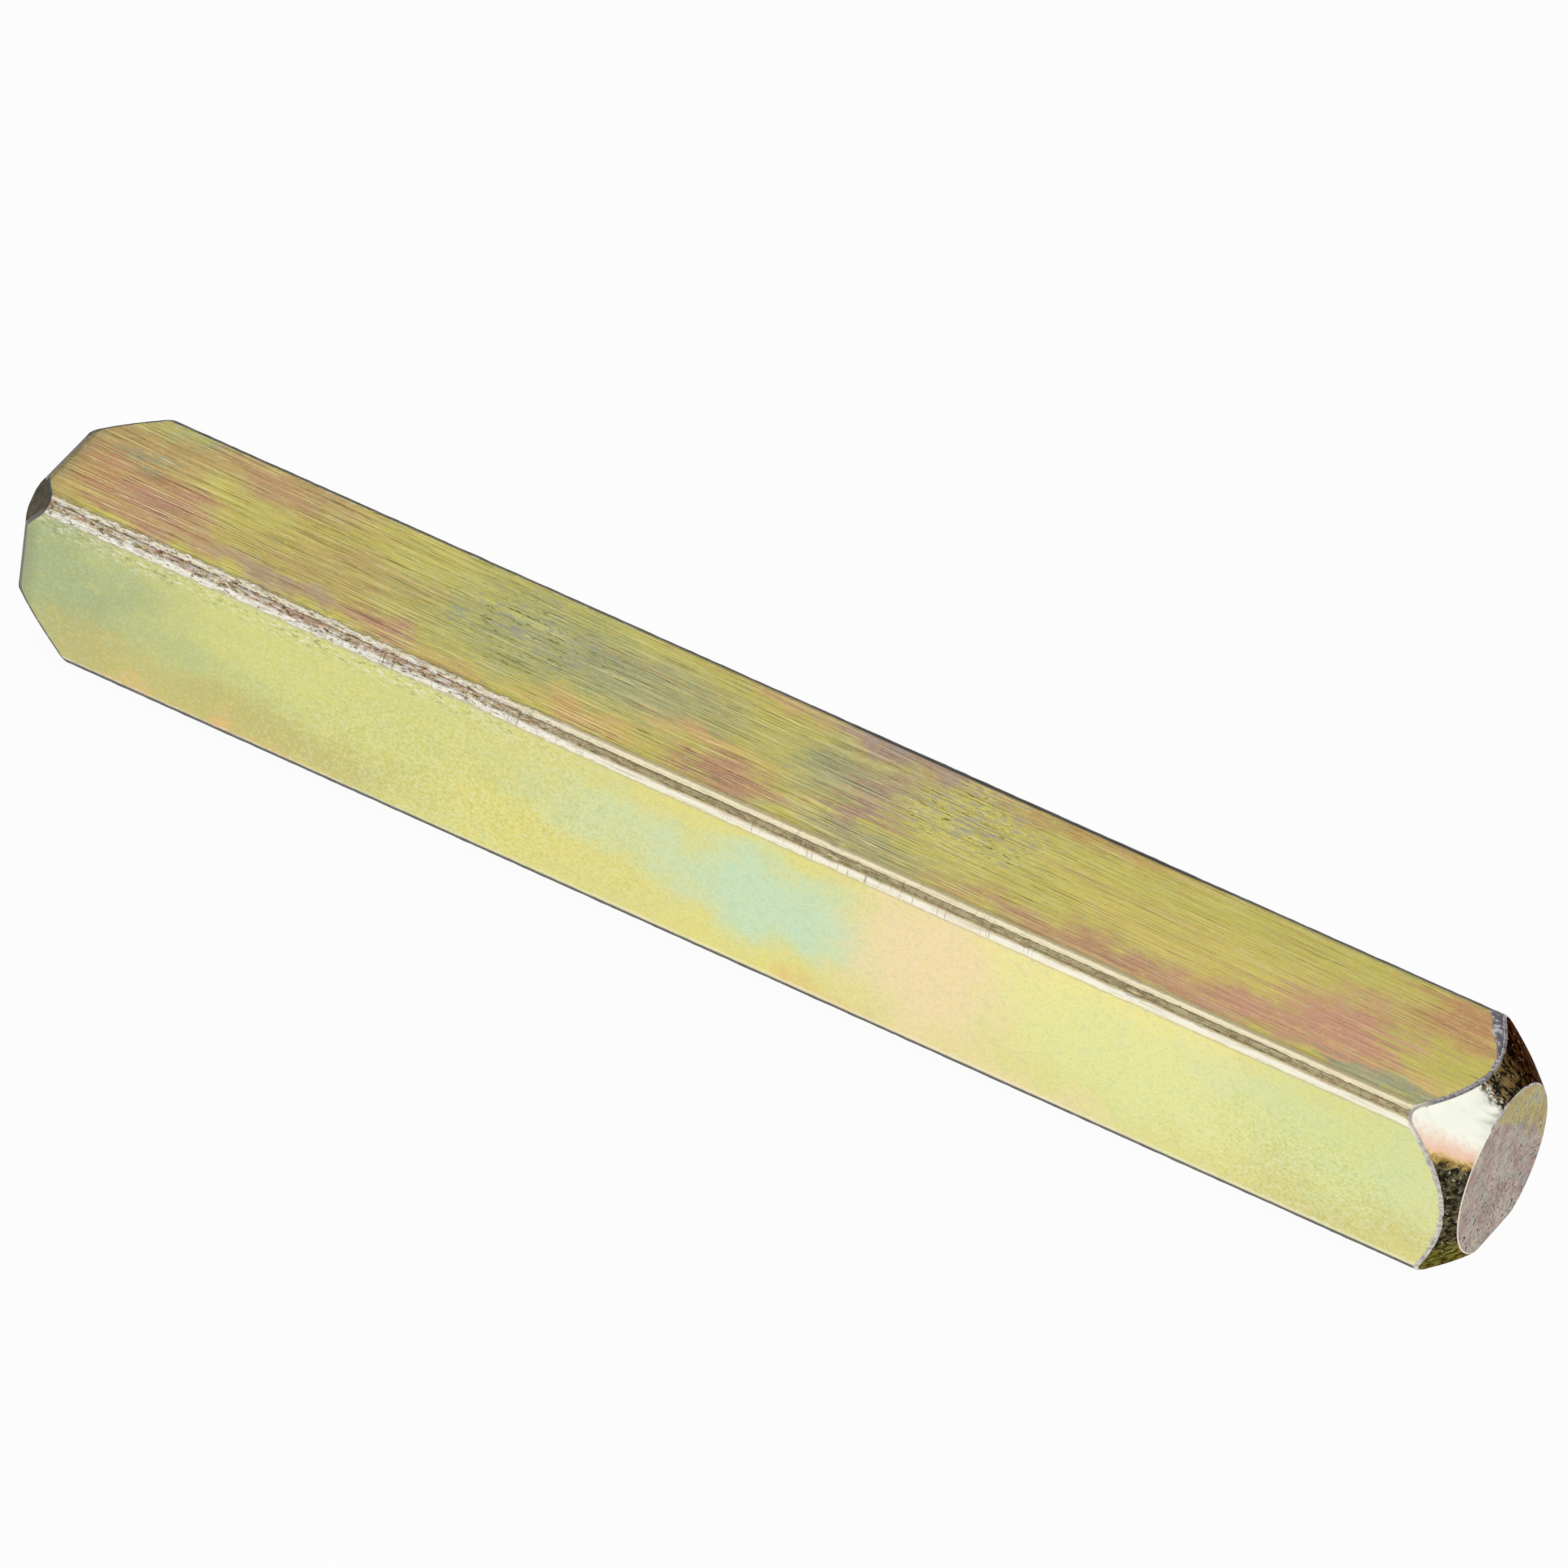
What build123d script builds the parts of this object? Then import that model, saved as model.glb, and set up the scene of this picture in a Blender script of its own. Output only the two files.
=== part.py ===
from build123d import *
import os
from math import radians, sqrt, tan

os.makedirs("parts", exist_ok=True)

# Door handle spindle: one solid square steel bar, cut from drawn square stock.
# Frame: origin at the middle of the bar, X along the bar, Z up.
# The bar lies on its flat at -Z. The viewer's side is -Y and the nearer end is +X.

# Square stock
side = 8.0              # across flats, the size of the square holes in the handle and the latch
arris_radius = 0.70     # the four long corners, rounded when the square was drawn
length = 66.7           # over the two end faces

# Chamfer round the +X end, ground by hand with the bar held a little off true
near_rim_inset = 0.38   # from the flats in to the rim of the end face, before the offsets
near_cone_angle = 44.5  # between the chamfer and the bar's axis, degrees
near_cone_lean = 5.5    # how far the chamfer's axis leans up from the bar's, degrees
near_offset_y = 0.18    # chamfer's centre on the end face, across from the bar's centre
near_offset_z = -0.20   # the same, up
near_rim_radius = 0.16  # rim of the end face, rubbed round in the plating barrel

# Chamfer round the -X end, ground well off centre
# The corner at -Y +Z has the shallowest chamfer, and the end face runs out to the flats beside it.
far_rim_inset = 0.55
far_cone_angle = 38.0
far_offset_y = -0.75
far_offset_z = 0.80
far_rim_radius = 0.18

# The edge of each chamfer on the flats and the arrises, rubbed round as well
lip_radius = 0.22

# How far the grinding tool stands clear of the bar
tool_clearance = 1.0


def square_bar():
    """The drawn square with its four rounded arrises, at full length."""
    section = Plane.YZ * RectangleRounded(side, side, arris_radius)
    return extrude(section, amount=length / 2, both=True)


def chamfer_tool(rim_inset, cone_angle):
    """A ring round X that takes a cone off an end face at X = 0 of a bar that runs to -X."""
    slope = tan(radians(cone_angle))
    rim = side / 2 - rim_inset
    outer = side / sqrt(2) + tool_clearance
    profile = Polyline(
        (tool_clearance, rim - tool_clearance * slope),
        (tool_clearance, outer),
        ((rim - outer) / slope, outer),
        close=True,
    )
    return revolve(make_face(profile), axis=Axis.X)


def ground_bar():
    """The bar with a chamfer ground round each end, all its edges still sharp."""
    near_tool = Rot(0, -near_cone_lean, 0) * chamfer_tool(near_rim_inset, near_cone_angle)
    far_tool = Rot(0, 0, 180) * chamfer_tool(far_rim_inset, far_cone_angle)
    near_place = Pos(length / 2, near_offset_y, near_offset_z)
    far_place = Pos(-length / 2, far_offset_y, far_offset_z)
    return square_bar() - near_place * near_tool - far_place * far_tool


def end_faces(bar):
    """The two flat faces square to the bar, the -X one first."""
    return bar.faces().filter_by(GeomType.PLANE).filter_by(Axis.X).sort_by(Axis.X)


def rub_edges(bar):
    """Rounds both edges of each chamfer, and leaves the long arrises as drawn."""
    rims = end_faces(bar).edges()
    round_edges = bar.faces().filter_by(GeomType.CONE).edges().filter_by(GeomType.LINE, reverse=True)
    lips = ShapeList(e for e in round_edges if not any(e.is_same(rim) for rim in rims))
    bar = fillet(lips, lip_radius)
    bar = fillet(end_faces(bar)[-1].edges(), near_rim_radius)
    return fillet(end_faces(bar)[0].edges(), far_rim_radius)


spindle_bar = rub_edges(ground_bar())
export_step(spindle_bar, "parts/spindle_bar.step")
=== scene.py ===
from math import cos, hypot, pi, radians, sin

import bpy
from mathutils import Euler, Matrix, Vector, noise


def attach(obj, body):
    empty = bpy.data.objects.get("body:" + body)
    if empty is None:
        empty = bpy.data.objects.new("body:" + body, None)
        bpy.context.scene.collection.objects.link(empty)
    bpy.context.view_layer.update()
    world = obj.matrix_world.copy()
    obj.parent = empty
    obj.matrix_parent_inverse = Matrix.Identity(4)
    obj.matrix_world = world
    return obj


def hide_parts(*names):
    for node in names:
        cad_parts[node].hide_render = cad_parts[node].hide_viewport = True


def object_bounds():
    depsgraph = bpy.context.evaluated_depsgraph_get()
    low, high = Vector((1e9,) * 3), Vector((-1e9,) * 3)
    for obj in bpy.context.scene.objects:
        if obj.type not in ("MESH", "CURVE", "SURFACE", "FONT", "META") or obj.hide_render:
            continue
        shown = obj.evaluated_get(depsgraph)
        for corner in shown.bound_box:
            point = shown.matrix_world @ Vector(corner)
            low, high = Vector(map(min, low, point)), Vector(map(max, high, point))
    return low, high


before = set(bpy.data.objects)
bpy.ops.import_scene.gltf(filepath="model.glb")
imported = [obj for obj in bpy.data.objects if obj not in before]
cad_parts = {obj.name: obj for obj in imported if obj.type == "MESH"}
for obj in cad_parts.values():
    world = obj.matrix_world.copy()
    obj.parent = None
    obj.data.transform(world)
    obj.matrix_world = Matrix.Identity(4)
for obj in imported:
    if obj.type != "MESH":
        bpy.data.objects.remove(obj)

cad_low, cad_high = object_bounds()

# The camera
# A long lens looks down on the bar from its front right, which is the photograph's angle,
# rolled a few degrees so that the bar runs down the picture from left to right.
MM = 0.001
camera_azimuth = radians(24.73)
camera_elevation = radians(40.08)
camera_roll = radians(7.6)
camera_distance = 1197.7 * MM
camera_aim_right = 0.255 * MM
camera_aim_up = 2.077 * MM
camera_lens = 685.3

toward = Vector((
    sin(camera_azimuth) * cos(camera_elevation),
    -cos(camera_azimuth) * cos(camera_elevation),
    sin(camera_elevation),
))
level_right = Vector((cos(camera_azimuth), sin(camera_azimuth), 0))
level_up = toward.cross(level_right)
right = level_right * cos(camera_roll) + level_up * sin(camera_roll)
up = level_up * cos(camera_roll) - level_right * sin(camera_roll)
aim = (cad_low + cad_high) / 2 + right * camera_aim_right + up * camera_aim_up

bpy.ops.object.camera_add()
camera = bpy.context.object
camera.data.lens = camera_lens
camera.data.clip_start = 0.1
camera.data.clip_end = 10
camera_turn = Matrix((right, up, toward)).transposed().to_4x4()
camera.matrix_world = Matrix.Translation(aim + toward * camera_distance) @ camera_turn
bpy.context.scene.camera = camera

# The square bar
# One length of drawn square steel, its four arrises rounded by the drawing and then knocked and
# rolled rough, with a chamfer ground round each end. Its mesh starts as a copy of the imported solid's.
def deselect():
    """The frame arrives with its solids selected, and an operator acts on all that is selected."""
    for thing in bpy.context.selected_objects:
        thing.select_set(False)


deselect()
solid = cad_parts["spindle_bar"]
bar = solid.copy()
bar.data = solid.data.copy()
bar.name = "spindle_square"
bpy.context.collection.objects.link(bar)
bpy.context.view_layer.objects.active = bar
bar.select_set(True)
bpy.ops.object.mode_set(mode="EDIT")
bpy.ops.mesh.select_all(action="SELECT")
bpy.ops.mesh.remove_doubles(threshold=0.0005 * MM)
bpy.ops.mesh.dissolve_limited(angle_limit=radians(0.1))

# Cuts give the faces enough points to be worn: across the bar all along it, closer together at the far
# rim, and lengthwise beside the arrises.
half = (cad_high.y - cad_low.y) / 2 / MM
end = (cad_high.x - cad_low.x) / 2 / MM
chamfer_reach = 2.2
slice_gap = 0.15
slices = int(2 * (end - chamfer_reach) / slice_gap)
slice_places = [(i - slices / 2) * slice_gap for i in range(slices + 1)]
rim_places = [-end + step for step in (0.03, 0.07, 0.12, 0.18, 0.25, 0.33, 0.42, 0.52, 0.62)]
for x in slice_places + rim_places:
    bpy.ops.mesh.select_all(action="SELECT")
    bpy.ops.mesh.bisect(plane_co=(x * MM, 0, 0), plane_no=(1, 0, 0))
for side_gap in (0.55, 0.8, 1.1, 1.5):
    for direction in ((0, 1, 0), (0, 0, 1)):
        for sign in (-1, 1):
            place = Vector(direction) * sign * (half - side_gap) * MM
            bpy.ops.mesh.select_all(action="SELECT")
            bpy.ops.mesh.bisect(plane_co=place, plane_no=direction)
bpy.ops.object.mode_set(mode="OBJECT")

# The cones that the chamfers were ground to, in millimetres and radians: where each one's axis meets the
# end face, how it is turned, the radius of its rim there, and its slope.
near_cone = {
    "place": (end, 0.18, -0.20),
    "turn": (0, radians(-5.5), 0),
    "rim": half - 0.38,
    "slope": radians(44.5),
}
far_cone = {
    "place": (-end, -0.75, 0.80),
    "turn": (0, 0, pi),
    "rim": half - 0.55,
    "slope": radians(38.0),
}


def ground_normal(point, cone):
    """Which way the ground surface of a chamfer faces beside a point, which is in millimetres."""
    turned = Euler(cone["turn"]).to_matrix()
    x, y, z = turned.transposed() @ (point - Vector(cone["place"]))
    outward = cos(cone["slope"]) / hypot(y, z)
    return turned @ Vector((sin(cone["slope"]), y * outward, z * outward))


# Which surface each face is part of, told before any of it is worn out of true.
FILM, LIP, GROUND, CUT_END = range(4)
square_to_bar = 0.97
along_bar = 0.06
on_cone = cos(radians(4))
surfaces = []
for face in bar.data.polygons:
    tilt = abs(face.normal.x)
    cone = near_cone if face.center.x > 0 else far_cone
    if tilt > square_to_bar:
        surfaces.append(CUT_END)
    elif tilt < along_bar:
        surfaces.append(FILM)
    elif face.normal.dot(ground_normal(face.center / MM, cone)) > on_cone:
        surfaces.append(GROUND)
    else:
        surfaces.append(LIP)
worked = set()
for face, surface in zip(bar.data.polygons, surfaces):
    if surface != FILM:
        worked.update(face.vertices)


def ramp(low, high, value):
    """0 at low and 1 at high, eased at both ends."""
    t = min(max((value - low) / (high - low), 0), 1)
    return t * t * (3 - 2 * t)


# The wear, in millimetres. A notch is its place along the arris that faces the camera, and its half width.
far_rim_round = 0.62
notch_depth = 0.05
crumb_length, crumb_width = 0.45, 0.22
notches = ((4.3, 0.5), (13.1, 0.45), (18.2, 0.6), (-12.6, 0.7), (-19.5, 0.6), (-24.0, 0.8))
for vertex in bar.data.vertices:
    x, y, z = vertex.co / MM
    # The far end's rim is worn to a larger round than its solid has.
    depth = x + end
    if depth < far_rim_round:
        reach = half - far_rim_round + (far_rim_round ** 2 - (far_rim_round - depth) ** 2) ** 0.5
        y = min(max(y, -reach), reach)
        z = min(max(z, -reach), reach)
    # The arrises are rough, most of all along the left half of the one that faces the camera.
    if vertex.index not in worked:
        at_arris = ramp(2.9, 3.35, min(abs(y), abs(z)))
        facing = y < 0 < z
        roughness = 0.010 + (0.034 * ramp(-5, -14, x) if facing else 0.004)
        crumb_place = Vector((x / crumb_length, y / crumb_width, z / crumb_width))
        crumbs = noise.fractal(crumb_place, 1.0, 2.0, 3)
        sink = at_arris * roughness * (0.5 + crumbs)
        if facing:
            for notch, width in notches:
                sink += at_arris * notch_depth * ramp(width, 0, abs(x - notch)) * (0.6 + crumbs)
        inward = Vector((0, -y, -z)).normalized()
        y += inward.y * sink
        z += inward.z * sink
    vertex.co = Vector((x, y, z)) * MM

deselect()
bar.select_set(True)
bpy.ops.object.shade_smooth_by_angle(angle=radians(32))
# A ground surface is shaded by itself up to its edge, so its lips don't show in it.
beside = {}
for face, surface in zip(bar.data.polygons, surfaces):
    for key in face.edge_keys:
        beside.setdefault(key, set()).add(surface)
for edge in bar.data.edges:
    if GROUND in beside[edge.key] and len(beside[edge.key]) > 1:
        edge.use_edge_sharp = True
bpy.ops.object.modifier_add(type="WEIGHTED_NORMAL")
bar.modifiers[-1].keep_sharp = True
bpy.ops.object.modifier_apply(modifier=bar.modifiers[-1].name)


# Yellow passivated zinc
# Zinc plate about a hundredth of a millimetre thick over drawn steel, dipped in chromate. The film is so
# thin that its colour changes with its thickness: lemon and green with mint, rose and amber blooms.
# It is satin, with the lines of the drawing die on the top and the back, and fine grain on the front
# and underneath.
def linear(hexcolour):
    """An sRGB hex colour as the linear values that a shader takes."""
    channels = [int(hexcolour[i:i + 2], 16) / 255 for i in (1, 3, 5)]
    return tuple(c / 12.92 if c <= 0.04045 else ((c + 0.055) / 1.055) ** 2.4 for c in channels) + (1,)


# A MapRange here eases from its first bound to its second, a Mix lays one colour over another, and a
# Mapping's scale is the size of a pattern's grains.
usual_settings = {
    "MapRange": {"interpolation_type": "SMOOTHSTEP"},
    "Mix": {"data_type": "RGBA"},
    "Mapping": {"vector_type": "TEXTURE"},
}


def add(tree, kind, *terms, **settings):
    """Adds a node and gives its output, or all its outputs by name if it has several.

    Terms go to its inputs in order, and settings to its properties or its inputs by name.
    Each is a value, a hex colour or another node's output.
    """
    node = tree.nodes.new("ShaderNode" + kind)
    settings = usual_settings.get(kind, {}) | settings
    for name in [name for name in settings if hasattr(node, name)]:
        setattr(node, name, settings.pop(name))
    in_order = zip([socket for socket in node.inputs if socket.enabled], terms)
    by_name = [(node.inputs[name], value) for name, value in settings.items()]
    for socket, value in [*in_order, *by_name]:
        if isinstance(value, bpy.types.NodeSocket):
            tree.links.new(value, socket)
        else:
            socket.default_value = linear(value) if isinstance(value, str) else value
    outputs = {socket.name: socket for socket in node.outputs if socket.enabled}
    return outputs if len(outputs) > 1 else outputs.popitem()[1]


def both(tree, *masks):
    """The product of some masks."""
    product = masks[0]
    for mask in masks[1:]:
        product = add(tree, "Math", product, mask, operation="MULTIPLY")
    return product


def band(tree, value, low, high, soft):
    """1 between low and high, eased over twice soft at each."""
    above_low = add(tree, "MapRange", value, low - soft, low + soft)
    below_high = add(tree, "MapRange", value, high + soft, high - soft)
    return both(tree, above_low, below_high)


def speckle(tree, vector, stretch, turn=0, detail=2, rough=0.6):
    """Noise whose grains measure stretch along the axes, in millimetres, turned about the upright one."""
    laid = add(tree, "Mapping", vector, Rotation=(0, 0, turn), Scale=stretch)
    return add(tree, "TexNoise", laid, Scale=1, Detail=detail, Roughness=rough)["Fac"]


def gap_to(tree, vector, cone):
    """How far each point of a material lies outside a chamfer's cone, in millimetres."""
    placed = add(tree, "Mapping", vector, Location=cone["place"], Rotation=cone["turn"])
    along = add(tree, "SeparateXYZ", placed)["X"]
    across = add(tree, "VectorMath", placed, (0, 1, 1), operation="MULTIPLY")
    radius = add(tree, "VectorMath", across, operation="LENGTH")
    out = add(tree, "Math", radius, cone["rim"], operation="SUBTRACT")
    out = add(tree, "Math", out, cos(cone["slope"]), operation="MULTIPLY")
    return add(tree, "Math", along, sin(cone["slope"]), out, operation="MULTIPLY_ADD")


def metal(name):
    """A new metal, and each point's place on the bar in millimetres, whole and as X, Y and Z."""
    material = bpy.data.materials.new(name)
    material.use_nodes = True
    tree = material.node_tree
    shader = tree.nodes["Principled BSDF"]
    shader.inputs["Metallic"].default_value = 1
    place = add(tree, "TexCoord")["Object"]
    millimetres = add(tree, "VectorMath", place, 1 / MM, operation="SCALE")
    return material, tree, shader, millimetres, add(tree, "SeparateXYZ", millimetres)


film, tree, shader, millimetres, axes = metal("yellow passivated zinc, drawn")

# The film is laid out flat: one way is along the bar, the other round it, 0 on the arris that faces
# the camera, positive over the top to 8 at its far edge, negative down the front to -8. Each place
# drifts by up to half of these lengths each way, in millimetres, so that no patch has an even edge.
drift_along = 7.0
drift_round = 4.0
round_bar = add(tree, "Math", axes["Y"], axes["Z"], operation="ADD")
upper = add(tree, "MapRange", round_bar, -0.12, 0.12)
wander = add(tree, "TexNoise", millimetres, Scale=0.40, Detail=4, Roughness=0.6)["Color"]
drift = add(tree, "SeparateColor", wander)
laid_along = add(tree, "Math", axes["X"], drift_along / 2, operation="SUBTRACT")
laid_along = add(tree, "Math", drift["Red"], drift_along, laid_along, operation="MULTIPLY_ADD")
laid_around = add(tree, "Math", round_bar, drift_round / 2, operation="SUBTRACT")
laid_around = add(tree, "Math", drift["Green"], drift_round, laid_around, operation="MULTIPLY_ADD")

# On the top the drawing lines comb the blooms out along the bar.
comb = speckle(tree, millimetres, (8.0, 0.20, 0.20), turn=radians(-1), detail=3, rough=0.7)
combed = both(tree, add(tree, "Math", comb, 0.5, operation="SUBTRACT"), upper, 8.0)
laid_along = add(tree, "Math", laid_along, combed, operation="ADD")


def spot(along, around, long_radius, round_radius):
    """1 in the middle of a soft oval patch of the film, and 0 outside it."""
    length = add(tree, "Math", laid_along, along, operation="SUBTRACT")
    length = add(tree, "Math", length, long_radius, operation="DIVIDE")
    width = add(tree, "Math", laid_around, around, operation="SUBTRACT")
    width = add(tree, "Math", width, round_radius, operation="DIVIDE")
    square = add(tree, "Math", length, length, both(tree, width, width), operation="MULTIPLY_ADD")
    distance = add(tree, "Math", square, operation="SQRT")
    return add(tree, "MapRange", distance, 1.4, 0.3)


def blooms(base, patches):
    """Lays patches over a colour: each one's colour, place along and round, radii and strength."""
    colour = base
    for patch, along, around, long_radius, round_radius, strength in patches:
        amount = both(tree, spot(along, around, long_radius, round_radius), strength)
        colour = add(tree, "Mix", amount, colour, patch)
    return colour


lemon, lime, pale_lime, straw, mint = "#E8E294", "#DEE6A0", "#EAEEA6", "#DCDE8C", "#CCEACC"
sage, cream, butter = "#AEBC8C", "#FCE4B6", "#FAF0A2"
olive, amber, yellow = "#C8BC78", "#ECBE82", "#F0E484"
front_colour = blooms(lemon, (
    (straw, -19.0, -3.6, 13.0, 6.0, 0.85),
    (butter, 17.0, -2.0, 9.0, 3.4, 0.9),
    (sage, -32.0, -3.6, 4.6, 4.4, 0.95),
    (sage, -27.0, -3.4, 4.0, 3.0, 0.4),
    (olive, -30.5, -6.4, 3.0, 2.0, 0.6),
    (sage, -24.0, -5.0, 4.5, 1.6, 0.3),
    (olive, -23.0, -6.7, 8.5, 1.5, 0.75),
    (amber, -26.0, -8.0, 7.5, 0.9, 0.9),
    (yellow, -9.0, -5.6, 5.0, 2.4, 0.5),
    (mint, -6.0, -3.4, 4.0, 1.8, 0.4),
    (mint, 2.0, -3.9, 5.4, 2.6, 0.85),
    (yellow, 0.5, -7.2, 4.5, 1.5, 0.6),
    (yellow, 1.5, -0.8, 5.0, 0.9, 0.45),
    (cream, 9.4, -3.8, 4.0, 5.0, 0.9),
    (amber, 4.0, -8.0, 3.5, 0.9, 0.5),
    (pale_lime, 18.5, -4.2, 6.0, 3.0, 0.85),
    (cream, 15.0, -7.8, 4.0, 1.2, 0.6),
    (lime, 28.0, -3.5, 5.0, 3.5, 0.9),
    (mint, 32.0, -3.5, 2.4, 3.0, 0.2),
    (mint, 24.0, -2.2, 3.5, 1.2, 0.2),
    (olive, 29.0, -6.8, 5.0, 1.5, 0.35),
))
gold, light_gold, moss, slate = "#D8CC6A", "#E6D274", "#BEC27A", "#A8AE90"
rose, blush, rust, mauve, brown = "#CC967E", "#DCA288", "#CE946C", "#BC9A90", "#C6A272"
top_colour = blooms(gold, (
    (brown, -31.5, 4.6, 3.4, 3.4, 0.85),
    (moss, -29.5, 7.4, 2.4, 1.0, 0.7),
    (rust, -30.8, 3.0, 3.0, 2.2, 0.8),
    (rose, -28.6, 2.5, 3.2, 1.7, 1.0),
    (rose, -27.5, 1.3, 4.0, 0.8, 0.8),
    (slate, -30.8, 4.8, 0.9, 0.4, 0.9),
    (slate, -29.2, 7.1, 0.9, 0.5, 0.9),
    (rose, -25.0, 6.5, 4.8, 1.4, 0.75),
    (brown, -21.0, 3.4, 4.5, 1.8, 0.6),
    (mauve, -22.5, 1.3, 3.2, 0.8, 0.8),
    (rose, -17.6, 1.3, 2.2, 0.9, 1.0),
    (rust, -14.0, 1.0, 1.6, 0.7, 0.7),
    (moss, -12.5, 4.6, 5.5, 3.4, 0.85),
    (slate, -7.0, 4.6, 5.5, 2.2, 0.6),
    (amber, -8.6, 1.3, 2.6, 0.9, 0.8),
    (amber, -3.5, 3.3, 2.6, 0.6, 0.8),
    (rose, -1.4, 1.8, 2.8, 1.1, 0.95),
    (yellow, 1.7, 2.0, 1.0, 0.8, 0.8),
    (amber, -1.6, 7.4, 1.6, 0.9, 0.7),
    (slate, 1.2, 4.7, 2.0, 1.9, 0.8),
    (mauve, 3.6, 7.5, 5.2, 1.1, 0.95),
    (mauve, 3.6, 3.6, 1.6, 3.0, 0.9),
    (slate, 4.5, 1.4, 4.5, 0.8, 0.6),
    (yellow, 8.2, 4.6, 3.6, 2.6, 0.35),
    (rust, 12.5, 7.4, 5.0, 0.9, 0.6),
    (light_gold, 18.5, 3.6, 6.5, 1.8, 0.85),
    (rose, 17.0, 1.2, 9.0, 0.9, 0.9),
    (blush, 23.5, 1.7, 6.0, 1.2, 0.9),
    (blush, 26.6, 3.2, 3.6, 2.2, 1.0),
    (rust, 30.8, 6.4, 3.4, 2.0, 0.9),
    (gold, 30.4, 3.5, 2.2, 1.3, 0.9),
    (amber, 30.5, 1.6, 1.8, 0.7, 0.8),
    (slate, 29.2, 1.0, 2.4, 0.7, 0.9),
))
colour = add(tree, "Mix", upper, front_colour, top_colour)

# Drawing lines: scratches some 0.1 to 0.2 mm apart that run about a degree off the bar's own line,
# strongest on its left half.
lines = speckle(tree, millimetres, (5.0, 0.08, 0.08), turn=radians(-1), detail=5, rough=0.75)
scratches = speckle(tree, millimetres, (2.2, 0.07, 0.07), turn=radians(-1.8), detail=2)
wide_streaks = speckle(tree, millimetres, (9.0, 0.6, 0.6), turn=radians(-1), detail=4, rough=0.75)
scored = both(tree, upper, add(tree, "MapRange", axes["X"], 20, 6, 0.44, 0.74))
for start, full, paint in ((0.52, 0.68, rose), (0.48, 0.34, yellow)):
    streak = both(tree, add(tree, "MapRange", wide_streaks, start, full, 0, 0.3), upper)
    colour = add(tree, "Mix", streak, colour, paint)
for pattern, start, full, paint in (
    (lines, 0.50, 0.34, "#5E5230"),
    (lines, 0.52, 0.66, "#F6ECA8"),
    (scratches, 0.38, 0.29, "#3E3622"),
    (scratches, 0.63, 0.71, "#FAF2BC"),
):
    line = both(tree, add(tree, "MapRange", pattern, start, full), scored)
    colour = add(tree, "Mix", line, colour, paint)

# Grain of the zinc, which is finer than a picture can show, so it is drawn about 0.15 mm: yellow and
# pale, most of all on the front left of the middle.
grain = speckle(tree, millimetres, (0.16, 0.12, 0.12), detail=3, rough=0.75)
coarse_grain = speckle(tree, millimetres, (0.5, 0.35, 0.35), detail=4, rough=0.75)
grainy = add(tree, "Math", spot(-13.0, -5.0, 9.0, 4.0), spot(27.0, -6.0, 6.0, 3.0), operation="MAXIMUM")
grainy = add(tree, "Math", grainy, 0.22, 0.17, operation="MULTIPLY_ADD")
grainy = both(tree, grainy, add(tree, "Math", upper, -0.3, 1, operation="MULTIPLY_ADD"))
for start, full, paint in ((0.50, 0.34, "#BEB050"), (0.50, 0.66, "#FBFADF")):
    fleck = both(tree, add(tree, "MapRange", grain, start, full), grainy)
    colour = add(tree, "Mix", fleck, colour, paint)
for start, full, paint in ((0.50, 0.66, yellow), (0.50, 0.34, "#BCD0A8")):
    fleck = add(tree, "MapRange", coarse_grain, start, full, 0, 0.18)
    colour = add(tree, "Mix", fleck, colour, paint)

# Small grey and dark pits in the top, where the film has gone, and a dull rubbed place at its far edge.
pits = speckle(tree, millimetres, (0.6, 0.15, 0.15), turn=radians(-1), detail=3, rough=0.7)
pitted = add(tree, "Math", spot(-12.5, 4.6, 4.5, 2.6), spot(8.0, 5.2, 4.0, 2.6), operation="MAXIMUM")
for start, full, paint in ((0.53, 0.62, "#A4A4A0"), (0.42, 0.34, "#56543C")):
    pit = both(tree, add(tree, "MapRange", pits, start, full, 0, 0.7), pitted, upper)
    colour = add(tree, "Mix", pit, colour, paint)
scuffed = both(tree, spot(7.5, 5.5, 3.5, 1.6), 0.7)
scuffed = add(tree, "Math", spot(3.0, 7.9, 3.4, 0.8), scuffed, operation="MAXIMUM")
scuffed = both(tree, add(tree, "MapRange", pits, 0.48, 0.62, 0, 0.75), scuffed, upper)
colour = add(tree, "Mix", scuffed, colour, "#B2ACAA")

# The arrises are rubbed bright: pale zinc with little film on it, streaked along the bar, and crumbly
# along the left half of the one in front. Their colour also holds painted light and shade: darker towards
# the top edge of the arris in front, and near white on its front half, a painted highlight. An arris is
# where both ways out from the bar's middle line are over 3.3 mm, and corner is the shorter of the two.
off_side = add(tree, "Math", axes["Y"], operation="ABSOLUTE")
off_level = add(tree, "Math", axes["Z"], operation="ABSOLUTE")
corner = add(tree, "Math", off_side, off_level, operation="MINIMUM")
crumbs = speckle(tree, millimetres, (0.34, 0.12, 0.12), detail=3, rough=0.75)
streaks = speckle(tree, millimetres, (2.4, 0.10, 0.10), detail=4, rough=0.7)
crumbly = add(tree, "MapRange", axes["X"], -4, -14)
raggedness = add(tree, "Math", crumbly, 0.14, 0.20, operation="MULTIPLY_ADD")
shift = both(tree, add(tree, "Math", crumbs, 0.5, operation="SUBTRACT"), raggedness)
ragged_corner = add(tree, "Math", crumbly, -0.08, shift, operation="MULTIPLY_ADD")
ragged_corner = add(tree, "Math", corner, ragged_corner, operation="ADD")
ragged_round = add(tree, "Math", round_bar, shift, operation="ADD")
from_arris = add(tree, "Math", round_bar, operation="ABSOLUTE")
in_front = add(tree, "MapRange", from_arris, 2.4, 1.8)
rubbed = add(tree, "MapRange", ragged_corner, 3.26, 3.36)
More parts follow.
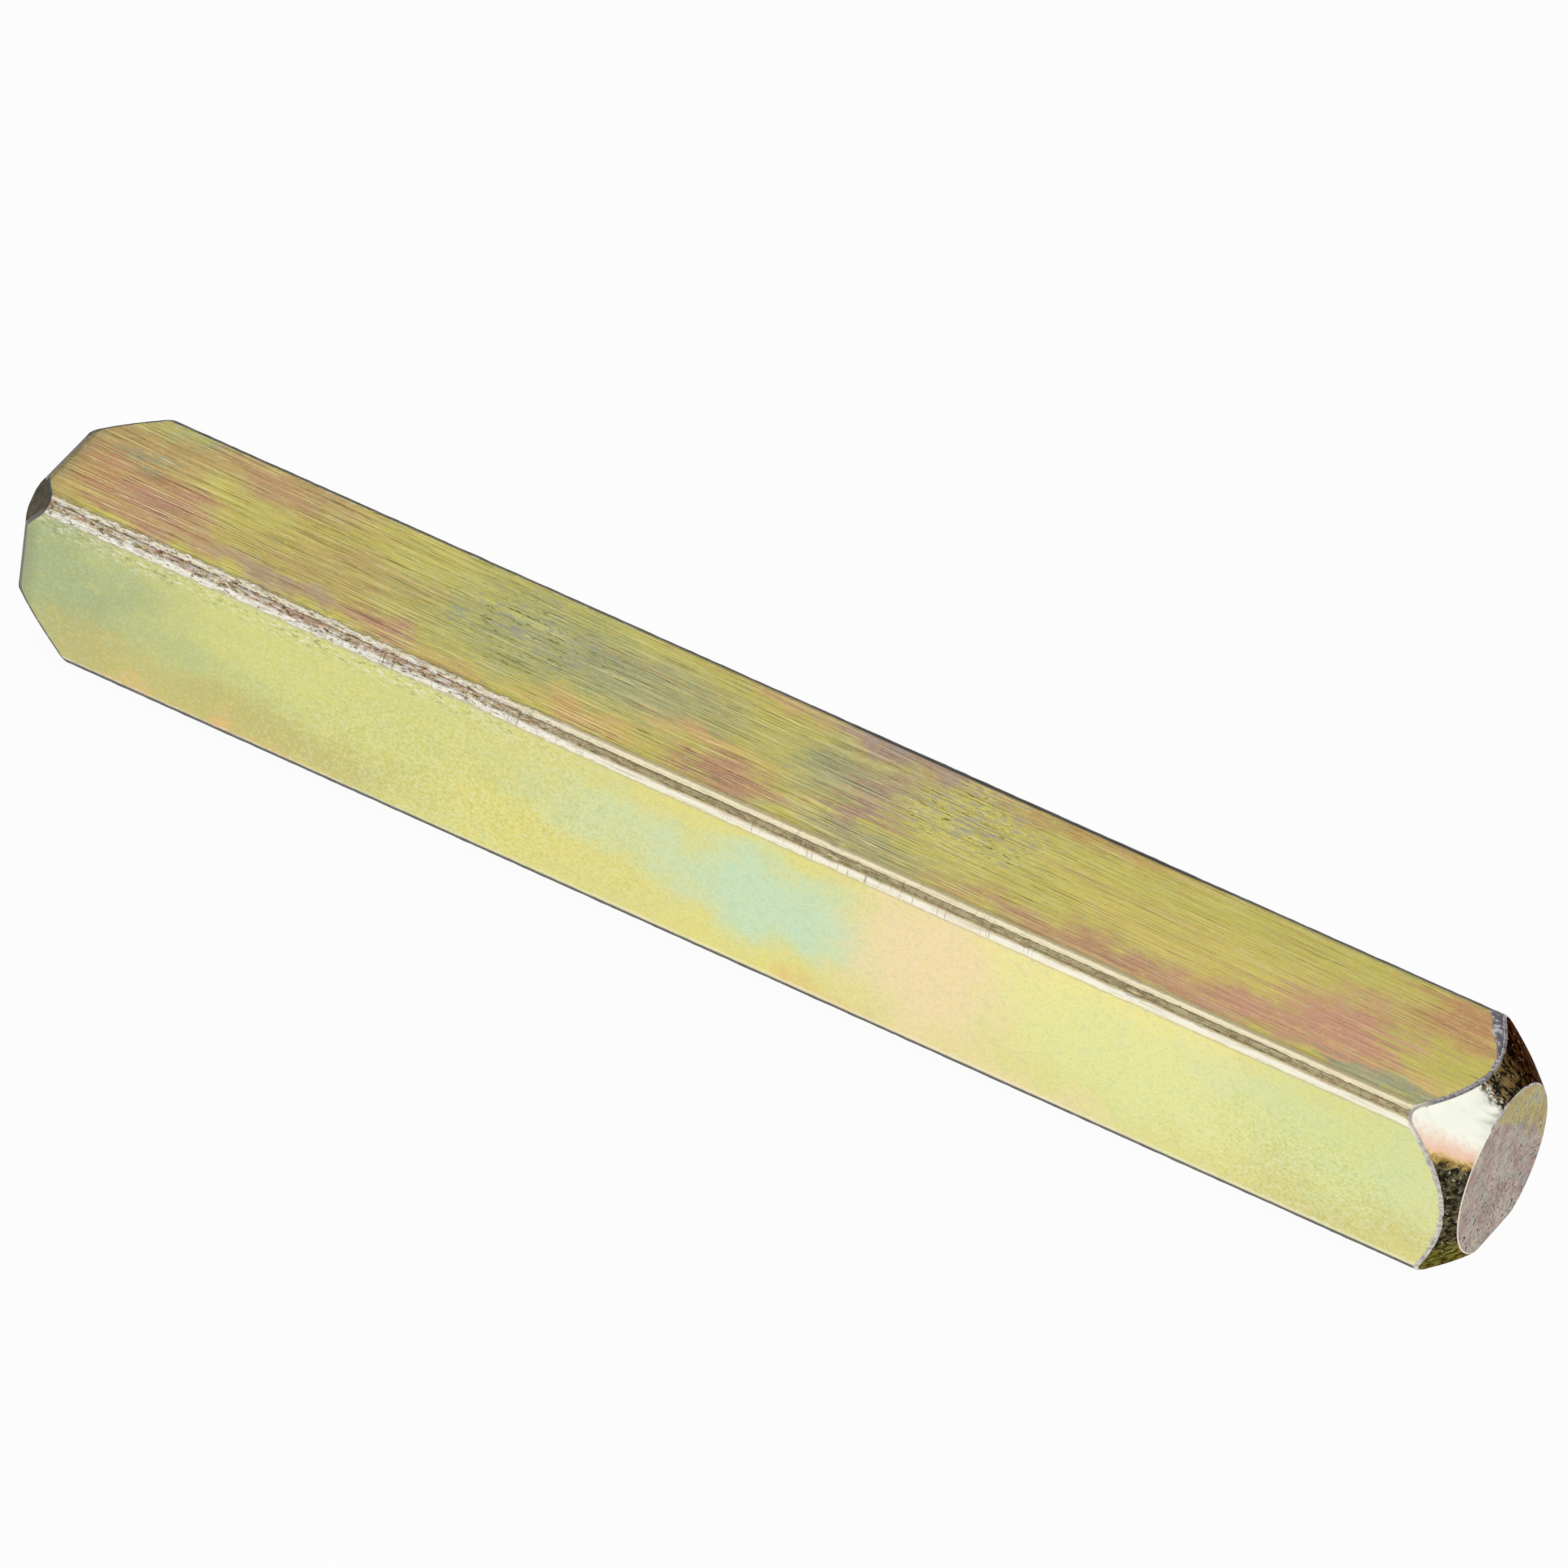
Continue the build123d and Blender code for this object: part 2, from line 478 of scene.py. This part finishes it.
rubbed = both(tree, rubbed, add(tree, "Math", in_front, 0.6, 0.4, operation="MULTIPLY_ADD"))
# Painted shade towards the arris's top edge, then a painted highlight, near white, on its front half.
worn_zinc_and_painted_bands = add(tree, "Mix", add(tree, "MapRange", ragged_round, 0.40, 0.66), "#F6EBC8", "#BCAE84")
worn_zinc_and_painted_bands = add(tree, "Mix", add(tree, "MapRange", round_bar, 0, -0.1), worn_zinc_and_painted_bands, "#FFF9E6")
worn_zinc_and_painted_bands = add(tree, "Mix", add(tree, "MapRange", streaks, 0.50, 0.34, 0, 0.5), worn_zinc_and_painted_bands, "#C2B68A")

# A band is painted along the arris in front, olive below and cream above: painted shade and a painted
# highlight, streaked and grained, pink and crumbled on its left half.
low_edge = add(tree, "Math", crumbly, -0.08, ragged_round, operation="MULTIPLY_ADD")
painted_reflection_band = add(tree, "MapRange", low_edge, -0.42, -0.24)
painted_reflection_band = both(tree, painted_reflection_band, add(tree, "MapRange", ragged_round, 0.20, 0.12))
reflection_band_colour = add(tree, "Mix", add(tree, "MapRange", ragged_round, -0.26, -0.06), "#CCC090", "#FFEFBC")
for pattern, start, full, strength, paint in (
    (coarse_grain, 0.50, 0.60, 0.5, "#D4A48C"),
    (streaks, 0.54, 0.40, 0.4, "#86743E"),
    (crumbs, 0.48, 0.38, 0.4, "#5C4C2A"),
):
    fleck = add(tree, "MapRange", pattern, start, full, 0, strength)
    reflection_band_colour = add(tree, "Mix", fleck, reflection_band_colour, paint)
worn_zinc_and_painted_bands = add(tree, "Mix", painted_reflection_band, worn_zinc_and_painted_bands, reflection_band_colour)
pink = both(tree, crumbly, add(tree, "MapRange", streaks, 0.46, 0.58, 0, 0.7))
pink = both(tree, pink, band(tree, ragged_round, -0.25, 0.3, 0.08))
worn_zinc_and_painted_bands = add(tree, "Mix", pink, worn_zinc_and_painted_bands, "#D0988C")
for start, full, strength, paint in ((0.44, 0.36, 0.8, "#4C443C"), (0.52, 0.58, 0.9, "#FFFEFA")):
    crumb = both(tree, crumbly, add(tree, "MapRange", crumbs, start, full, 0, strength))
    worn_zinc_and_painted_bands = add(tree, "Mix", crumb, worn_zinc_and_painted_bands, paint)

# Two thin dark lines of painted shade run along that arris, and short ticks cross it in two places.
shade_line_half_width = 0.025
for shade_line, darkness in ((0.17, 0.85), (0.52, 0.2)):
    line = band(tree, ragged_round, shade_line - shade_line_half_width, shade_line + shade_line_half_width, 0.03)
    worn_zinc_and_painted_bands = add(tree, "Mix", both(tree, line, darkness), worn_zinc_and_painted_bands, "#5E5230")
ticks = speckle(tree, millimetres, (0.12, 2.0, 2.0), detail=2)
ticked = add(tree, "Math", spot(7.0, -0.4, 7.0, 0.8), spot(-14.0, -0.4, 6.0, 0.8), operation="MAXIMUM")
ticked = both(tree, ticked, add(tree, "MapRange", ticks, 0.44, 0.34, 0, 0.6))
worn_zinc_and_painted_bands = add(tree, "Mix", ticked, worn_zinc_and_painted_bands, "#8C8262")

# A thin line of painted shade lies where the film stops, grey in front and dark on top. Beside the
# crumbled half of the arris, crumbs lie on the front's film.
film_edge_shade = both(tree, band(tree, ragged_corner, 3.20, 3.29, 0.03), in_front)
film_edge_shade = both(tree, film_edge_shade, add(tree, "Math", upper, -0.25, 0.5, operation="MULTIPLY_ADD"))
colour = add(tree, "Mix", film_edge_shade, colour, add(tree, "Mix", upper, "#C4BCB0", "#6E6240"))
crumb_spread = both(tree, crumbly, band(tree, round_bar, -1.4, -0.6, 0.4))
for start, full, strength, paint in ((0.55, 0.64, 0.8, "#F8F4EA"), (0.44, 0.36, 0.6, "#8E8670")):
    crumb = both(tree, crumb_spread, add(tree, "MapRange", crumbs, start, full, 0, strength))
    colour = add(tree, "Mix", crumb, colour, paint)
colour = add(tree, "Mix", rubbed, colour, worn_zinc_and_painted_bands)

# The arrises turned from the light are painted dark, painted shade: the top's far edge, thickest right of
# the middle, and the foot of the front. The far rim is painted dark too.
thicker_shade = both(tree, band(tree, axes["X"], 1, 18, 2), 0.10)
towards_edge = add(tree, "Math", axes["Y"], thicker_shade, operation="ADD")
far_edge = add(tree, "MapRange", towards_edge, 3.41, 3.55)
far_edge = both(tree, far_edge, add(tree, "MapRange", axes["Z"], 3.62, 3.76))
foot = add(tree, "MapRange", axes["Z"], -3.42, -3.58)
foot = both(tree, foot, add(tree, "MapRange", axes["Y"], -3.60, -3.74))
far_rim = add(tree, "MapRange", axes["X"], -end + 0.40, -end + 0.20, 0, 0.9)
painted_edge_shade = add(tree, "Math", far_edge, foot, operation="MAXIMUM")
painted_edge_shade = add(tree, "Math", painted_edge_shade, far_rim, operation="MAXIMUM")
colour = add(tree, "Mix", painted_edge_shade, colour, "#2A2622")
# The painted shade is given little metal, so that it stays dark.
tree.links.new(add(tree, "Math", painted_edge_shade, -0.95, 1, operation="MULTIPLY_ADD"), shader.inputs["Metallic"])

# The film is worn back from the near chamfer, most at the top's far corner, and dulled at the far end.
knocks = speckle(tree, millimetres, (0.5, 0.35, 0.35), detail=4, rough=0.75)
near_gap = add(tree, "Math", gap_to(tree, millimetres, near_cone), 0.25, operation="SUBTRACT")
near_gap = add(tree, "Math", knocks, 0.5, near_gap, operation="MULTIPLY_ADD")
top_wear = both(tree, upper, add(tree, "MapRange", axes["Y"], 0.5, 3.2, 0.02, 0.38))
wear = add(tree, "Math", top_wear, 0.09, operation="ADD")
worn_back = add(tree, "Math", near_gap, wear, operation="DIVIDE")
worn_back = add(tree, "MapRange", worn_back, -1.0, -0.75)
worn_back = both(tree, worn_back, add(tree, "MapRange", from_arris, 0.6, 1.2))
grey_blue = add(tree, "Mix", add(tree, "MapRange", knocks, 0.50, 0.62), "#6C6870", "#CCC8CA")
colour = add(tree, "Mix", worn_back, colour, add(tree, "Mix", upper, "#C6C2B8", grey_blue))
from_far_end = add(tree, "Math", axes["X"], both(tree, shift, 0.6), operation="ADD")
dulled = add(tree, "MapRange", from_far_end, -end + 1.2, -end + 0.4, 0, 0.35)
colour = add(tree, "Mix", dulled, colour, "#7C8070")

tree.links.new(colour, shader.inputs["Base Color"])

# It is satin, smoother where it is rubbed. The drawing lines are some 0.01 mm deep, as the grain is, and
# the crumbs up to 0.05 mm.
satin = add(tree, "Math", grain, 0.12, 0.34, operation="MULTIPLY_ADD")
satin = add(tree, "Math", rubbed, -0.05, satin, operation="MULTIPLY_ADD")
tree.links.new(satin, shader.inputs["Roughness"])
relief = add(tree, "Bump", Strength=0.6, Distance=0.012 * MM, Height=both(tree, lines, upper))
relief = add(tree, "Bump", Strength=0.6, Distance=0.008 * MM, Height=grain, Normal=relief)
crumbled = both(tree, rubbed, add(tree, "Math", crumbly, 0.85, 0.15, operation="MULTIPLY_ADD"))
crumb_height = add(tree, "Math", crumbled, both(tree, crumb_spread, 0.5), operation="MAXIMUM")
crumb_height = both(tree, crumbs, crumb_height)
relief = add(tree, "Bump", Strength=0.8, Distance=0.05 * MM, Height=crumb_height, Normal=relief)
tree.links.new(relief, shader.inputs["Normal"])

# Ground chamfer
# Steel that was ground across the drawn surface before it was plated. The facet that faces the camera
# at the near end is clean and smoother, and painted near white, a painted highlight, going copper and
# brass at its foot; the rest has gone dark olive and brown, mottled.
ground, tree, shader, millimetres, axes = metal("zinc on ground steel, darkened")

# Places round the chamfer are angles: 0 at the middle of the front, and 90 degrees on top.
around = add(tree, "Math", axes["Z"], both(tree, axes["Y"], -1), operation="ARCTAN2")
mottle = speckle(tree, millimetres, (0.5, 0.30, 0.30), detail=4, rough=0.7)
rough_around = add(tree, "Math", around, radians(8), operation="SUBTRACT")
rough_around = add(tree, "Math", mottle, radians(16), rough_around, operation="MULTIPLY_ADD")
dark = add(tree, "Mix", add(tree, "MapRange", mottle, 0.42, 0.62), "#221F17", "#6C664A")
golden = add(tree, "MapRange", rough_around, radians(76), radians(90))
golden = both(tree, golden, add(tree, "MapRange", mottle, 0.45, 0.62))
dark = add(tree, "Mix", golden, dark, "#A08250")
black = add(tree, "MapRange", rough_around, radians(100), radians(122), 0, 0.75)
dark = add(tree, "Mix", black, dark, "#241E1A")
low_green = add(tree, "Mix", add(tree, "MapRange", mottle, 0.4, 0.6), "#565834", "#9EA260")
green = add(tree, "MapRange", rough_around, radians(-24), radians(-42), 0, 0.8)
dark = add(tree, "Mix", green, dark, low_green)
flecks = speckle(tree, millimetres, (0.20, 0.15, 0.15), detail=2)
dark = add(tree, "Mix", add(tree, "MapRange", flecks, 0.62, 0.70, 0, 0.8), dark, "#B4AE98")
knocks = add(tree, "MapRange", flecks, 0.50, 0.58)
knocks = both(tree, knocks, band(tree, around, radians(74), radians(84), radians(3)))
dark = add(tree, "Mix", knocks, dark, "#E8E4D8")
near_end = add(tree, "MapRange", axes["X"], -1, 1)
above_foot = add(tree, "MapRange", rough_around, radians(25), radians(34))
below_top = add(tree, "MapRange", rough_around, radians(80), radians(75))
# The clean facet's colour is near white: a painted highlight.
clean_and_highlit = both(tree, above_foot, below_top, near_end)
coppery = add(tree, "MapRange", rough_around, radians(48), radians(34))
highlight_and_film = add(tree, "Mix", coppery, "#E2E3D5", "#DCB8A2")
brassy = add(tree, "MapRange", rough_around, radians(36), radians(28))
highlight_and_film = add(tree, "Mix", brassy, highlight_and_film, "#D8B45C")
colour = add(tree, "Mix", clean_and_highlit, dark, highlight_and_film)
far_end = add(tree, "MapRange", axes["X"], 1, -1, 0, 0.9)
colour = add(tree, "Mix", far_end, colour, add(tree, "Mix", mottle, "#3E3C36", "#8E8C80"))
tree.links.new(colour, shader.inputs["Base Color"])
satin = add(tree, "Math", clean_and_highlit, -0.14, 0.42, operation="MULTIPLY_ADD")
tree.links.new(satin, shader.inputs["Roughness"])
# The dull film keeps it brown where bare metal would mirror the white floor at a low angle.
shader.inputs["Specular Tint"].default_value = linear("#A88E74")
relief_height = both(tree, mottle, add(tree, "Math", 1, clean_and_highlit, operation="SUBTRACT"))
relief = add(tree, "Bump", Strength=0.6, Distance=0.03 * MM, Height=relief_height)
tree.links.new(relief, shader.inputs["Normal"])

# Worn lip
# Where a chamfer meets the flats and the end face, its edge has rubbed against other bars in the plating
# barrel. The film is gone from it, and grey zinc and steel show, knocked pale in places.
lip, tree, shader, millimetres, axes = metal("worn grey zinc")
knocks = speckle(tree, millimetres, (0.3, 0.22, 0.22), detail=3, rough=0.7)
round_bar = add(tree, "Math", axes["Y"], axes["Z"], operation="ADD")
upper = add(tree, "MapRange", round_bar, -0.3, 0.3)
knocked = add(tree, "MapRange", knocks, 0.35, 0.62)
front_grey = add(tree, "Mix", knocked, "#A8A49C", "#DAD6CC")
top_grey = add(tree, "Mix", knocked, "#86828A", "#D0CACC")
colour = add(tree, "Mix", upper, front_grey, top_grey)
from_arris = add(tree, "Math", round_bar, operation="ABSOLUTE")
# Where the lip meets an arris it is painted cream: rubbed most there, and partly a painted highlight.
colour = add(tree, "Mix", add(tree, "MapRange", from_arris, 1.3, 0.8), colour, "#EEE8DA")
rim = add(tree, "MapRange", axes["X"], end - 0.24, end - 0.18)
rim = both(tree, rim, add(tree, "MapRange", axes["Z"], 1.8, 0.8))
colour = add(tree, "Mix", rim, colour, "#F0DED2")
far_lip = add(tree, "MapRange", axes["X"], 1, -1)
colour = add(tree, "Mix", far_lip, colour, add(tree, "Mix", knocks, "#54544E", "#84847C"))
tree.links.new(colour, shader.inputs["Base Color"])
shader.inputs["Roughness"].default_value = 0.36
relief = add(tree, "Bump", Strength=0.6, Distance=0.02 * MM, Height=knocks)
tree.links.new(relief, shader.inputs["Normal"])

# End face
# The bar was sawn off and its end ground flat before it was plated. The film is matt and mauve-brown
# here, olive towards the top, and broken by small dark pits.
cut_end, tree, shader, millimetres, axes = metal("passivated zinc on a ground end")
cloud = speckle(tree, millimetres, (1.4, 1.2, 1.2), detail=5, rough=0.65)
fine_cloud = speckle(tree, millimetres, (0.6, 0.5, 0.5), detail=4, rough=0.7)
colour = add(tree, "Mix", add(tree, "MapRange", cloud, 0.40, 0.60), "#A48C84", "#BCAE9C")
height = add(tree, "Math", axes["Y"], 0.8, axes["Z"], operation="MULTIPLY_ADD")
height = add(tree, "Math", cloud, 3.0, height, operation="MULTIPLY_ADD")
colour = add(tree, "Mix", add(tree, "MapRange", height, 3.3, 4.0, 0, 0.9), colour, "#B8AA58")
colour = add(tree, "Mix", add(tree, "MapRange", fine_cloud, 0.50, 0.60, 0, 0.6), colour, "#A0A49A")
colour = add(tree, "Mix", add(tree, "MapRange", fine_cloud, 0.46, 0.36, 0, 0.6), colour, "#A0766C")
grit = speckle(tree, millimetres, (0.16, 0.16, 0.16), detail=3, rough=0.7)
colour = add(tree, "Mix", add(tree, "MapRange", grit, 0.50, 0.34, 0, 0.55), colour, "#5E5048")
colour = add(tree, "Mix", add(tree, "MapRange", grit, 0.54, 0.70, 0, 0.45), colour, "#DCD0C6")
dots = speckle(tree, millimetres, (0.26, 0.20, 0.20), detail=1)
low = add(tree, "MapRange", axes["Z"], 1.5, -2.0)
colour = add(tree, "Mix", both(tree, add(tree, "MapRange", dots, 0.63, 0.68), low), colour, "#3C3430")
tree.links.new(colour, shader.inputs["Base Color"])
shader.inputs["Roughness"].default_value = 0.5
relief = add(tree, "Bump", Strength=0.5, Distance=0.02 * MM, Height=grit)
tree.links.new(relief, shader.inputs["Normal"])

bar.data.materials.clear()
for finish in (film, lip, ground, cut_end):
    bar.data.materials.append(finish)
bar.data.polygons.foreach_set("material_index", surfaces)

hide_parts("spindle_bar")
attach(bar, "root")

# Floor
# A matt white table under the bar. The camera and the metal see it nearly as white as paper, and what is
# left of its own shading keeps a trace of the bar's shadow.
floor_side = 4
paper_white = 0.95
bpy.ops.mesh.primitive_plane_add(size=floor_side, location=(0, 0, cad_low.z))
floor = bpy.context.object
floor.name = "floor"
card = bpy.data.materials.new("matt white card")
card.use_nodes = True
tree = card.node_tree
shader = tree.nodes["Principled BSDF"]
shader.inputs["Base Color"].default_value = linear("#F6F6F4")
shader.inputs["Roughness"].default_value = 0.8
paths = add(tree, "LightPath")
seen = add(tree, "Math", paths["Is Camera Ray"], paths["Is Glossy Ray"], operation="MAXIMUM")
glow = add(tree, "Emission", Strength=1.0)
paper = add(tree, "MixShader", both(tree, seen, paper_white), shader.outputs["BSDF"], glow)
tree.links.new(paper, tree.nodes["Material Output"].inputs["Surface"])
floor.data.materials.append(card)

# World
# An even grey studio round the table. It fills what the lights leave dark, and the bar mirrors it where
# it mirrors none of them.
world = bpy.data.worlds.new("studio")
bpy.context.scene.world = world
world.use_nodes = True
back = world.node_tree.nodes["Background"]
back.inputs["Color"].default_value = (1, 1, 1, 1)
back.inputs["Strength"].default_value = 0.38


# Lights
# Soft white boxes and cards, each where the bar mirrors it to the camera: the back card in the top, the
# overhead box and the front strip in the arris in front, and the right card in the bright facet.
def soft_box(name, direction, distance, width, height, radiance):
    """An even rectangular light that faces the bar; a mirror of it shows white at a radiance of 1."""
    bpy.ops.object.light_add(type="AREA")
    lamp = bpy.context.object
    lamp.name = name
    lamp.data.shape = "RECTANGLE"
    lamp.data.size = width
    lamp.data.size_y = height
    lamp.data.energy = radiance * pi * width * height
    heading = Vector(direction).normalized()
    turn = heading.to_track_quat("Z", "Y").to_matrix().to_4x4()
    lamp.matrix_world = Matrix.Translation(heading * distance) @ turn


soft_box("overhead", (-0.32, 0.07, 0.945), 1.0, 0.85, 0.7, 0.82)
soft_box("right_card", (0.93, 0.02, 0.30), 0.8, 1.2, 0.75, 0.92)
soft_box("front_strip", (-0.32, -0.93, 0.14), 1.2, 1.0, 0.28, 1.0)
soft_box("back_card", (-0.32, 0.695, 0.644), 1.2, 0.8, 0.5, 0.66)

# Colours are shown as they are, with no curve over them.
bpy.context.scene.view_settings.view_transform = "Standard"
